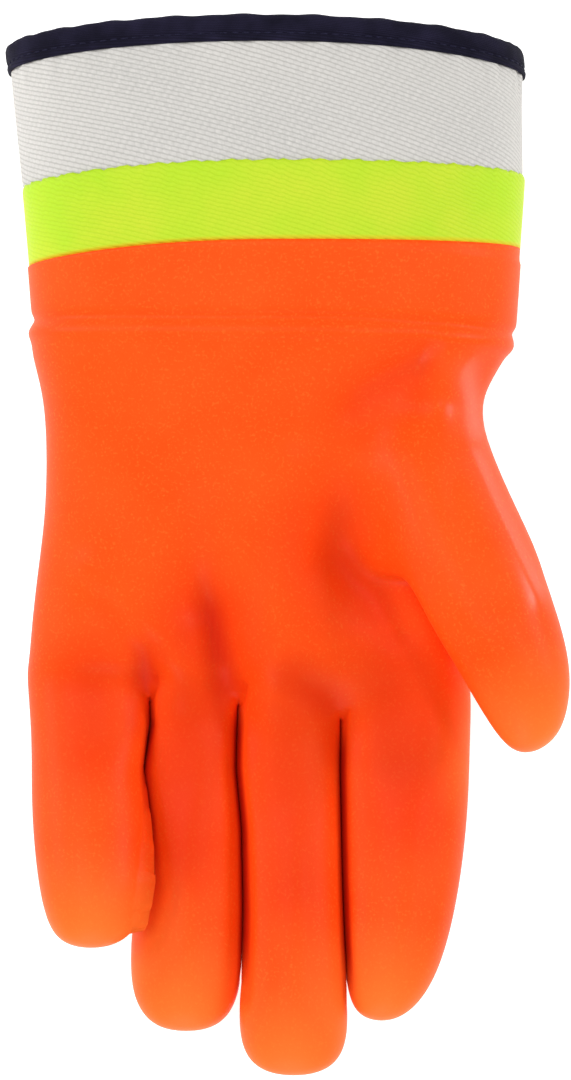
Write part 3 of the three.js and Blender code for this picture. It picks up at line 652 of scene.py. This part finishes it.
line_heights = np.array([CUFF_LINES[name][0] for name in CUFF_LINES], float)
line_rings = np.array([spline_ring(line_controls(name), ROUND) for name in CUFF_LINES])
line_rings[:, :, 2] -= SETTLE
lowest = np.array([0, 0.5, 0.5, 0.5, 0.5])[:, None]
line_rings[:, :, 2] = np.maximum(line_rings[:, :, 2], lowest)
girth = np.linalg.norm(np.roll(line_rings[2], -1, 0) - line_rings[2], axis=1)
print("girth of the cuff at the stripe: %.0f mm" % girth.sum())


def skin_ring(height):
    """The cuff's skin at a height over the wrist seam, smooth from one main line to the next."""
    h = np.broadcast_to(np.asarray(height, float), (ROUND,))
    k = np.clip(np.searchsorted(line_heights, h) - 1, 0, len(line_heights) - 2)
    f = ((h - line_heights[k]) / (line_heights[k + 1] - line_heights[k]))[:, None]
    column = np.arange(ROUND)
    low, high = line_rings[k, column], line_rings[k + 1, column]
    before = line_rings[np.maximum(k - 1, 0), column]
    after = line_rings[np.minimum(k + 2, len(line_heights) - 1), column]
    ease = 0.16 * f * (1 - f)
    return low + (high - low) * f + ease * ((low - before) * (1 - f) - (after - high) * f)


def sunk_ring(ring, depth):
    after, before = np.roll(ring, -1, 0), np.roll(ring, 1, 0)
    out = np.stack([after[:, 2] - before[:, 2], np.zeros(len(ring)), before[:, 0] - after[:, 0]], 1)
    out /= np.linalg.norm(out, axis=1)[:, None]
    return ring - out * np.broadcast_to(np.asarray(depth, float), (len(ring),))[:, None]


def tube(name, stations):
    """A closed tube from stations of (height, depth), each a number or one value per column."""
    rings = []
    for height, depth in stations:
        ring = sunk_ring(skin_ring(height), depth)
        ring[:, 2] = np.maximum(ring[:, 2], 0.02)
        rings.append(ring)
    points = np.concatenate(rings)
    faces = []
    for r in range(len(rings)):
        s = (r + 1) % len(rings)
        for c in range(ROUND):
            n = (c + 1) % ROUND
            faces.append((r * ROUND + c, r * ROUND + n, s * ROUND + n, s * ROUND + c))
    piece = mesh_object(name, placed(points), faces)
    cloth = piece.data.uv_layers.new(name="cloth")
    around = np.concatenate([[0], np.cumsum(girth)]) * MM
    heights = [float(np.mean(height)) * MM for height, _ in stations]
    uv = []
    for r in range(len(rings)):
        s = (r + 1) % len(rings)
        for c in range(ROUND):
            uv += [around[c], heights[r], around[c + 1], heights[r],
                   around[c + 1], heights[s], around[c], heights[s]]
    cloth.data.foreach_set("uv", np.array(uv, np.float32))
    shade_smooth(piece)
    return piece


# %% [markdown]
# Sewing a tape to the canvas gathers it a little, so the canvas has faint upright waves that fade away
# from the binding, and a few wide soft dents. Slow sine waves of unrelated lengths look right for that.

# %% The canvas, the lime coat and the tape
angle = 2 * np.pi * np.arange(ROUND) / ROUND
gather = 0.22 * np.sin(31 * angle + 0.6) + 0.16 * np.sin(53 * angle + 2.0) + 0.1 * np.sin(97 * angle)
dents = 0.5 * np.sin(5 * angle + 1.0) + 0.35 * np.sin(9 * angle + 0.3)
TOP = CUFF_LENGTH
stripe_top = COAT_OVERLAP + STRIPE_WIDTH


GATHER_HEIGHT, GATHER_REACH = 75, 7


def canvas_depth(h):
    near_tape = np.exp(-(((h - GATHER_HEIGHT) / GATHER_REACH) ** 2))
    bare = np.clip((h - stripe_top + 1.5) / 3, 0, 1)
    under_seam = 1.0 * np.exp(-(((h - 1.9) / 3) ** 2))
    return 1.3 - 0.55 * bare + gather * near_tape + dents * 0.5 * bare * (1 - near_tape) + under_seam


CANVAS_WALL = 1.6
heights = np.concatenate([np.linspace(CANVAS_START, stripe_top - 1.5, 14),
                          np.linspace(stripe_top - 1, TOP - 1.9, 34)])
inner_stations = [(h, canvas_depth(h) + CANVAS_WALL) for h in heights]
canvas = tube("canvas_cuff", inner_stations + [(h, canvas_depth(h)) for h in heights[::-1]])

frayed = 0.16 * np.sin(41 * angle) + 0.14 * np.sin(87 * angle + 1) + 0.12 * np.sin(131 * angle + 2)
lime_heights = np.linspace(0, 1, 22)


def lime_station(t, depth):
    return COAT_OVERLAP + 0.02 + (STRIPE_WIDTH + frayed) * t, depth


lime = tube("lime_stripe", [lime_station(t, 1.0) for t in lime_heights]
            + [lime_station(t, 0.42 + 0.3 * max(0, t - 0.97) / 0.03) for t in lime_heights[::-1]])
print("canvas_cuff and lime_stripe:", len(canvas.data.polygons), len(lime.data.polygons), "quads")

# %% [markdown]
# The binding is one tape folded over the edge. Going round its section: up the inside, over the fold and
# down the outside, with a dip where the sewing pulls it in, and a rounded edge at the bottom.

# %% The binding
edge = CUFF_LENGTH - BINDING_WIDTH
wave = 0.18 * np.sin(23 * angle + 1.1) + 0.12 * np.sin(47 * angle)
ear = 1.3 * np.exp(-((np.minimum(angle, 2 * np.pi - angle) / 0.10) ** 2))
sewn = edge + 1.5
outside = [(edge + 0.15, 0.75), (edge, 0.3), (edge + 0.2, -0.15), (edge + 0.8, -0.35), (sewn - 0.3, -0.05),
           (sewn, 0.1), (sewn + 0.3, -0.05), (sewn + 0.9, -0.38), (edge + 4, -0.5), (edge + 5.6, -0.5),
           (edge + 6.7, -0.2), (edge + 7.3, 0.6)]
inside = [(edge + 7.3, 3.2), (edge + 6.7, 3.9), (edge + 5.6, 4.2), (edge + 4, 4.2), (sewn + 0.9, 4.1),
          (sewn, 3.7), (edge + 0.8, 4.0), (edge + 0.1, 3.7), (edge + 0.1, 3.15)]
section = ([(edge + 0.6, 3.1), (TOP - 1.5, 3.1), (TOP - 1.5, 0.8), (edge + 0.6, 0.8)] + outside
           + [(edge + 7.5, 1.4), (edge + 7.5, 2.4)] + inside)
fold_share = [np.clip((h - edge - 2) / 5.5, 0, 1) for h, _ in section]
stations = [(h + (wave + ear) * s, d + 0.6 * wave * s) for (h, d), s in zip(section, fold_share)]
tape = tube("navy_binding", stations)
print("navy_binding:", len(tape.data.polygons), "quads")

# %% [markdown]
# The tape is sewn on with a row of lockstitches. They follow a path and repeat, which is what Geometry
# Nodes are for: the path is cut to equal steps, a small capsule goes on each step, turned along the
# path, and the copies are made real.

# %% A node tree for stitches
STITCH_INPUTS = [("Step", 3.0 * MM), ("Length", 2.1 * MM), ("Thickness", 0.26 * MM)]


def stitch_tree(thread):
    tree = bpy.data.node_groups.new("Sewn row", "GeometryNodeTree")
    tree.interface.new_socket("Path", in_out="INPUT", socket_type="NodeSocketGeometry")
    for label, value in STITCH_INPUTS:
        socket = tree.interface.new_socket(label, in_out="INPUT", socket_type="NodeSocketFloat")
        socket.default_value = value
    tree.interface.new_socket("Stitches", in_out="OUTPUT", socket_type="NodeSocketGeometry")
    add, link = tree.nodes.new, tree.links.new
    given, result = add("NodeGroupInput"), add("NodeGroupOutput")
    curve, steps = add("GeometryNodeMeshToCurve"), add("GeometryNodeResampleCurve")
    even = add("GeometryNodeCurveToPoints")
    steps.mode = "LENGTH"
    even.mode = "EVALUATED"
    capsule, along = add("GeometryNodeMeshUVSphere"), add("GeometryNodeTransform")
    capsule.inputs["Segments"].default_value = 8
    capsule.inputs["Rings"].default_value = 6
    capsule.inputs["Radius"].default_value = 1
    size = add("ShaderNodeCombineXYZ")
    half = add("ShaderNodeMath")
    half.operation = "MULTIPLY"
    half.inputs[1].default_value = 0.5
    copies, real = add("GeometryNodeInstanceOnPoints"), add("GeometryNodeRealizeInstances")
    finish = add("GeometryNodeSetMaterial")
    finish.inputs["Material"].default_value = thread
    link(given.outputs["Path"], curve.inputs["Mesh"])
    link(curve.outputs["Curve"], steps.inputs["Curve"])
    link(given.outputs["Step"], steps.inputs["Length"])
    link(steps.outputs["Curve"], even.inputs["Curve"])
    link(given.outputs["Length"], half.inputs[0])
    link(given.outputs["Thickness"], size.inputs["X"])
    link(given.outputs["Thickness"], size.inputs["Y"])
    link(half.outputs[0], size.inputs["Z"])
    link(capsule.outputs["Mesh"], along.inputs["Geometry"])
    link(size.outputs["Vector"], along.inputs["Scale"])
    turn = add("FunctionNodeAlignRotationToVector")
    turn.axis = "Z"
    link(even.outputs["Tangent"], turn.inputs["Vector"])
    link(even.outputs["Points"], copies.inputs["Points"])
    link(along.outputs["Geometry"], copies.inputs["Instance"])
    link(turn.outputs["Rotation"], copies.inputs["Rotation"])
    link(copies.outputs["Instances"], real.inputs["Geometry"])
    link(real.outputs["Geometry"], finish.inputs["Geometry"])
    link(finish.outputs["Geometry"], result.inputs["Stitches"])
    return tree


def sewn_row(name, height, depth, tree):
    ring = sunk_ring(skin_ring(height), depth)
    path = bpy.data.meshes.new(name)
    n = len(ring)
    path.from_pydata([tuple(p) for p in placed(ring)], [(k, (k + 1) % n) for k in range(n)], [])
    piece = bpy.data.objects.new(name, path)
    bpy.context.scene.collection.objects.link(piece)
    maker = piece.modifiers.new("stitches", "NODES")
    maker.node_group = tree
    sockets = {s.name: s.identifier for s in tree.interface.items_tree if s.in_out == "INPUT"}
    for label, value in STITCH_INPUTS:
        maker[sockets[label]] = value
    finished(piece)
    shade_smooth(piece)
    return piece


# %% [markdown]
# Effects that several finishes share are node groups. The coat's grain is what vinyl shows after
# dipping: very fine pits, and slow changes of tone where it set a little thicker. The twill is drawn on
# the cloth's own flat coordinates: ridges crossed by short dashes, each row shifted against the next.


# %% Shared effects
def new_group(name, inputs, outputs):
    group = bpy.data.node_groups.new(name, "ShaderNodeTree")
    for label, kind, value in inputs:
        socket = group.interface.new_socket(label, in_out="INPUT", socket_type=kind)
        if value is not None:
            socket.default_value = value
    for label, kind in outputs:
        group.interface.new_socket(label, in_out="OUTPUT", socket_type=kind)
    return group, group.nodes.new("NodeGroupInput"), group.nodes.new("NodeGroupOutput")


def feed(links, socket, value):
    """Link another node's output to a socket, or set the socket to a plain value."""
    if hasattr(value, "is_output"):
        links.new(value, socket)
    else:
        socket.default_value = value


def math_node(nodes, links, operation, *values):
    node = nodes.new("ShaderNodeMath")
    node.operation = operation
    for k, value in enumerate(values):
        feed(links, node.inputs[k], value)
    return node.outputs[0]


def sums(nodes, links):
    """A short way to write math_node for one node tree."""
    return lambda operation, *values: math_node(nodes, links, operation, *values)


def noise_node(nodes, links, vector, scale, detail=2.0, roughness=0.5):
    node = nodes.new("ShaderNodeTexNoise")
    node.inputs["Scale"].default_value = scale
    node.inputs["Detail"].default_value = detail
    node.inputs["Roughness"].default_value = roughness
    links.new(vector, node.inputs["Vector"])
    return node.outputs["Fac"]


def coat_grain_group():
    group, given, result = new_group(
        "Dipped coat grain", [("Place", "NodeSocketVector", None)],
        [("Grain", "NodeSocketFloat"), ("Tone", "NodeSocketFloat"), ("Speckle", "NodeSocketFloat")])
    nodes, links = group.nodes, group.links
    place = given.outputs["Place"]
    fine = noise_node(nodes, links, place, 1900, 2, 0.6)
    pits = noise_node(nodes, links, place, 700, 2, 0.5)
    calc = sums(nodes, links)
    links.new(calc("ADD", fine, calc("MULTIPLY", pits, 0.8)), result.inputs["Grain"])
    links.new(noise_node(nodes, links, place, 45, 3, 0.55), result.inputs["Tone"])
    links.new(noise_node(nodes, links, place, 1300, 1, 0.5), result.inputs["Speckle"])
    return group


def twill_group():
    group, given, result = new_group(
        "Twill weave",
        [("Cloth", "NodeSocketVector", None), ("Row", "NodeSocketFloat", 1.25 * MM),
         ("Dash", "NodeSocketFloat", 1.9 * MM), ("Slope", "NodeSocketFloat", 0.3)],
        [("Height", "NodeSocketFloat"), ("Gap", "NodeSocketFloat"), ("Slub", "NodeSocketFloat")])
    nodes, links = group.nodes, group.links
    calc = sums(nodes, links)
    split = nodes.new("ShaderNodeSeparateXYZ")
    links.new(given.outputs["Cloth"], split.inputs[0])
    wobble = noise_node(nodes, links, given.outputs["Cloth"], 260, 1)
    across = calc("ADD", split.outputs["X"], calc("MULTIPLY", wobble, 0.5 * MM))
    lean = calc("MULTIPLY", across, given.outputs["Slope"])
    row = calc("DIVIDE", calc("SUBTRACT", split.outputs["Y"], lean), given.outputs["Row"])
    shift = calc("MULTIPLY", calc("FLOOR", row), 0.38)
    dash = calc("ADD", calc("DIVIDE", across, given.outputs["Dash"]), shift)
    crown = calc("SINE", calc("MULTIPLY", calc("FRACT", row), np.pi))
    bead = calc("POWER", calc("SINE", calc("MULTIPLY", calc("FRACT", dash), np.pi)), 0.6)
    body = calc("MULTIPLY", crown, calc("ADD", calc("MULTIPLY", bead, 0.6), 0.4))
    fibre = noise_node(nodes, links, given.outputs["Cloth"], 4200, 2)
    links.new(calc("ADD", body, calc("MULTIPLY", fibre, 0.25)), result.inputs["Height"])
    links.new(calc("SUBTRACT", 1.0, body), result.inputs["Gap"])
    links.new(noise_node(nodes, links, given.outputs["Cloth"], 900, 2), result.inputs["Slub"])
    return group


coat_grain, twill = coat_grain_group(), twill_group()
print("shared effects:", coat_grain.name, "and", twill.name)

# %% [markdown]
# Each finish is one Principled shader. A mix of colours by a mask gives the tones of the real thing, and
# on the orange coat it also gives painted shade in the hollows and creases and a painted rim light on the
# tips. The Bump node turns the masks into relief. Vinyl is satin, so it gets a mid roughness; canvas and
# tape are rough with a little sheen.


# %% The finishes
def new_material(name, roughness, **settings):
    material = bpy.data.materials.new(name)
    material.use_nodes = True
    nodes, links = material.node_tree.nodes, material.node_tree.links
    shader = nodes["Principled BSDF"]
    shader.inputs["Roughness"].default_value = roughness
    for label, value in settings.items():
        shader.inputs[label.replace("_", " ")].default_value = value
    return material, nodes, links, shader


def mix_node(nodes, links, mask, first, second):
    node = nodes.new("ShaderNodeMix")
    node.data_type = "RGBA"
    links.new(mask, node.inputs["Factor"])
    for socket, value in ((node.inputs[6], first), (node.inputs[7], second)):
        feed(links, socket, (*value, 1) if isinstance(value, tuple) else value)
    return node.outputs[2]


def mapped(nodes, links, value, low, high, out_low=0.0, out_high=1.0):
    node = nodes.new("ShaderNodeMapRange")
    links.new(value, node.inputs["Value"])
    limits = {"From Min": low, "From Max": high, "To Min": out_low, "To Max": out_high}
    for label, number in limits.items():
        node.inputs[label].default_value = number
    return node.outputs["Result"]


def tinted(nodes, links, colour, tint, mask, low, high, most=1.0):
    """The colour with a tint laid over it where the mask runs from low to high."""
    return mix_node(nodes, links, mapped(nodes, links, mask, low, high, 0, most), colour, tint)


def bump_node(nodes, links, shader, height, distance, strength=1.0):
    node = nodes.new("ShaderNodeBump")
    node.inputs["Distance"].default_value = distance
    node.inputs["Strength"].default_value = strength
    links.new(height, node.inputs["Height"])
    links.new(node.outputs["Normal"], shader.inputs["Normal"])


def place_of(nodes):
    return nodes.new("ShaderNodeTexCoord").outputs["Object"]


def mask_of(nodes, name):
    node = nodes.new("ShaderNodeAttribute")
    node.attribute_name = name
    return node.outputs["Fac"]


def use_group(nodes, group, links, **values):
    node = nodes.new("ShaderNodeGroup")
    node.node_tree = group
    for label, value in values.items():
        feed(links, node.inputs[label], value)
    return node


def orange_finish():
    material, nodes, links, shader = new_material(
        "Orange dipped vinyl", 0.42, Specular_IOR_Level=0.1, Coat_Roughness=0.22)
    gleam = mapped(nodes, links, mask_of(nodes, "gloss"), 0.0, 1.0, 0.0, 0.9)
    links.new(gleam, shader.inputs["Coat Weight"])
    grain = use_group(nodes, coat_grain, links, Place=place_of(nodes))
    tone = mapped(nodes, links, grain.outputs["Tone"], 0.3, 0.7)
    colour = mix_node(nodes, links, tone, (1.0, 0.077, 0.004), (1.0, 0.09, 0.006))
    for mask, tint, low, high, most in (
            (grain.outputs["Speckle"], (1.0, 0.12, 0.012), 0.55, 0.75, 1.0),
            # Painted shade in the hollows, darker and redder
            (mask_of(nodes, "hollow"), (0.68, 0.012, 0.0005), 0.02, 1.0, 1.0),
            # Painted rim light on the tips, brighter and yellower
            (mask_of(nodes, "tip"), (1.0, 0.25, 0.04), 0.0, 1.0, 0.8),
            # Painted shade in the creases between the fingers
            (mask_of(nodes, "crease"), (0.55, 0.006, 0.0015), 0.1, 1.0, 0.85)):
        colour = tinted(nodes, links, colour, tint, mask, low, high, most)
    links.new(colour, shader.inputs["Base Color"])
    rough = mapped(nodes, links, grain.outputs["Tone"], 0.2, 0.8, 0.38, 0.5)
    links.new(rough, shader.inputs["Roughness"])
    bump_node(nodes, links, shader, grain.outputs["Grain"], 0.05 * MM, 0.55)
    return material


def cloth_of(nodes):
    node = nodes.new("ShaderNodeUVMap")
    node.uv_map = "cloth"
    return node.outputs["UV"]


def canvas_finish():
    material, nodes, links, shader = new_material(
        "Twill canvas", 0.92, Sheen_Weight=0.05, Specular_IOR_Level=0.1)
    weave = use_group(nodes, twill, links, Cloth=cloth_of(nodes))
    stains = noise_node(nodes, links, place_of(nodes), 28, 4)
    colour = tinted(nodes, links, (0.62, 0.6, 0.57), (0.57, 0.555, 0.53), stains, 0.35, 0.65)
    colour = tinted(nodes, links, colour, (0.68, 0.66, 0.63), weave.outputs["Slub"], 0.35, 0.8)
    colour = tinted(nodes, links, colour, (0.4, 0.385, 0.36), weave.outputs["Gap"], 0.4, 1.0, 0.75)
    links.new(colour, shader.inputs["Base Color"])
    bump_node(nodes, links, shader, weave.outputs["Height"], 0.2 * MM, 0.6)
    return material


def lime_finish():
    material, nodes, links, shader = new_material("Lime coat on twill", 0.5, Specular_IOR_Level=0.12)
    cloth = cloth_of(nodes)
    weave = use_group(nodes, twill, links, Cloth=cloth)
    grain = use_group(nodes, coat_grain, links, Place=place_of(nodes))
    tone = mapped(nodes, links, grain.outputs["Tone"], 0.35, 0.68)
    colour = mix_node(nodes, links, tone, (0.47, 0.73, 0.025), (0.58, 0.72, 0.035))
    colour = tinted(nodes, links, colour, (0.4, 0.62, 0.012), weave.outputs["Gap"], 0.4, 1.0, 0.5)
    split = nodes.new("ShaderNodeSeparateXYZ")
    links.new(cloth, split.inputs[0])
    low = mapped(nodes, links, split.outputs["Y"], (COAT_OVERLAP + 1.2) * MM, COAT_OVERLAP * MM, 0, 0.55)
    colour = mix_node(nodes, links, low, colour, (1.0, 0.42, 0.005))
    links.new(colour, shader.inputs["Base Color"])
    calc = sums(nodes, links)
    relief = calc("ADD", weave.outputs["Height"], calc("MULTIPLY", grain.outputs["Grain"], 0.2))
    bump_node(nodes, links, shader, relief, 0.14 * MM, 0.7)
    return material


def tape_finish():
    material, nodes, links, shader = new_material(
        "Navy woven tape", 0.85, Sheen_Weight=0.02, Specular_IOR_Level=0.06)
    cloth = cloth_of(nodes)
    weave = use_group(nodes, twill, links, Cloth=cloth, Row=0.55 * MM, Dash=0.7 * MM, Slope=0.05)
    wear = noise_node(nodes, links, place_of(nodes), 120, 3)
    colour = tinted(nodes, links, (0.0085, 0.0075, 0.018), (0.02, 0.017, 0.042), wear, 0.35, 0.7)
    colour = tinted(nodes, links, colour, (0.004, 0.0035, 0.008), weave.outputs["Gap"], 0.3, 1.0, 0.7)
    links.new(colour, shader.inputs["Base Color"])
    bump_node(nodes, links, shader, weave.outputs["Height"], 0.12 * MM, 0.8)
    return material


def thread_finish():
    material, nodes, links, shader = new_material("Navy sewing thread", 0.7, Specular_IOR_Level=0.1)
    twist = noise_node(nodes, links, place_of(nodes), 2600, 2)
    colour = tinted(nodes, links, (0.009, 0.008, 0.02), (0.022, 0.02, 0.05), twist, 0.35, 0.65)
    links.new(colour, shader.inputs["Base Color"])
    bump_node(nodes, links, shader, twist, 0.05 * MM, 0.6)
    return material


orange, bare_canvas, lime_coat, navy = orange_finish(), canvas_finish(), lime_finish(), tape_finish()
thread = thread_finish()
for piece, material in ((hand, orange), (canvas, bare_canvas), (lime, lime_coat), (tape, navy)):
    piece.data.materials.append(material)
tree = stitch_tree(thread)
outer_row = sewn_row("stitches_outside", sewn, 0.0, tree)
inner_row = sewn_row("stitches_inside", sewn, 3.8, tree)
STITCH_FACES = 48
print("stitches:", [len(row.data.polygons) // STITCH_FACES for row in (outer_row, inner_row)])

# %% [markdown]
# Every piece rides on the one rigid body and stands for its CAD node.

# %% Tie the pieces to the part
for piece, node, slot in ((hand, "hand_shell", "orange_coat"), (canvas, "cuff_canvas", "canvas"),
                          (lime, "lime_band", "lime_coat"), (tape, "rim_binding", "navy_tape")):
    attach(piece, "root")
    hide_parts(node)
for piece in (outer_row, inner_row):
    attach(piece, "root")

# %% [markdown]
# A plain white sheet lies under the glove. A broad soft light hangs above, three more stand at its
# sides, and a small one makes the gleam along the thumb. The camera looks straight down.

# %% Floor, lights and camera
FLOOR_HALF, FLOOR_HEIGHT = 3, -0.0004
signs = ((-1, -1), (1, -1), (1, 1), (-1, 1))
corners = [(x * FLOOR_HALF, y * FLOOR_HALF, FLOOR_HEIGHT) for x, y in signs]
floor = mesh_object("floor", corners, [(0, 1, 2, 3)])
paper, nodes, links, shader = new_material("White paper", 0.9)
shader.inputs["Base Color"].default_value = (0.9, 0.9, 0.9, 1)
shader.inputs["Emission Color"].default_value = (1, 1, 1, 1)
shader.inputs["Emission Strength"].default_value = 0.6
floor.data.materials.append(paper)


def soft_light(name, place, target, size, watts):
    data = bpy.data.lights.new(name, "AREA")
    data.shape, data.size, data.energy = "SQUARE", size, watts
    light = bpy.data.objects.new(name, data)
    bpy.context.scene.collection.objects.link(light)
    light.location = place
    light.rotation_euler = (Vector(target) - Vector(place)).to_track_quat("-Z", "Y").to_euler()


soft_light("top", (-0.35, 0.35, 1.2), (0, 0, 0), 0.7, 4.5)
soft_light("little_finger_side", (-1.0, 0.3, 0.5), (-0.03, 0.05, 0.02), 0.5, 5)
soft_light("thumb_side", (1.0, 0.3, 0.55), (0.03, 0, 0.02), 0.35, 4.5)
soft_light("thumb_gleam", (0.5, 0.1, 0.95), (0.05, -0.02, 0.04), 0.12, 1.3)
soft_light("finger_side", (-0.1, -1.1, 0.45), (0, -0.05, 0.02), 0.6, 4)
world = bpy.data.worlds.new("studio")
world.use_nodes = True
world.node_tree.nodes["Background"].inputs["Color"].default_value = (1, 1, 1, 1)
world.node_tree.nodes["Background"].inputs["Strength"].default_value = 0.42
bpy.context.scene.world = world
bpy.context.scene.view_settings.view_transform = "Standard"

lens = bpy.data.cameras.new("camera")
lens.sensor_fit, lens.sensor_height, lens.lens = "VERTICAL", 24, 54.62
lens.clip_start, lens.clip_end = 0.01, 20
camera = bpy.data.objects.new("camera", lens)
bpy.context.scene.collection.objects.link(camera)
camera.location = (0.00023, 0.0049, 0.72)
bpy.context.scene.camera = camera
print("camera %.0f mm above the floor" % (camera.location.z / MM))
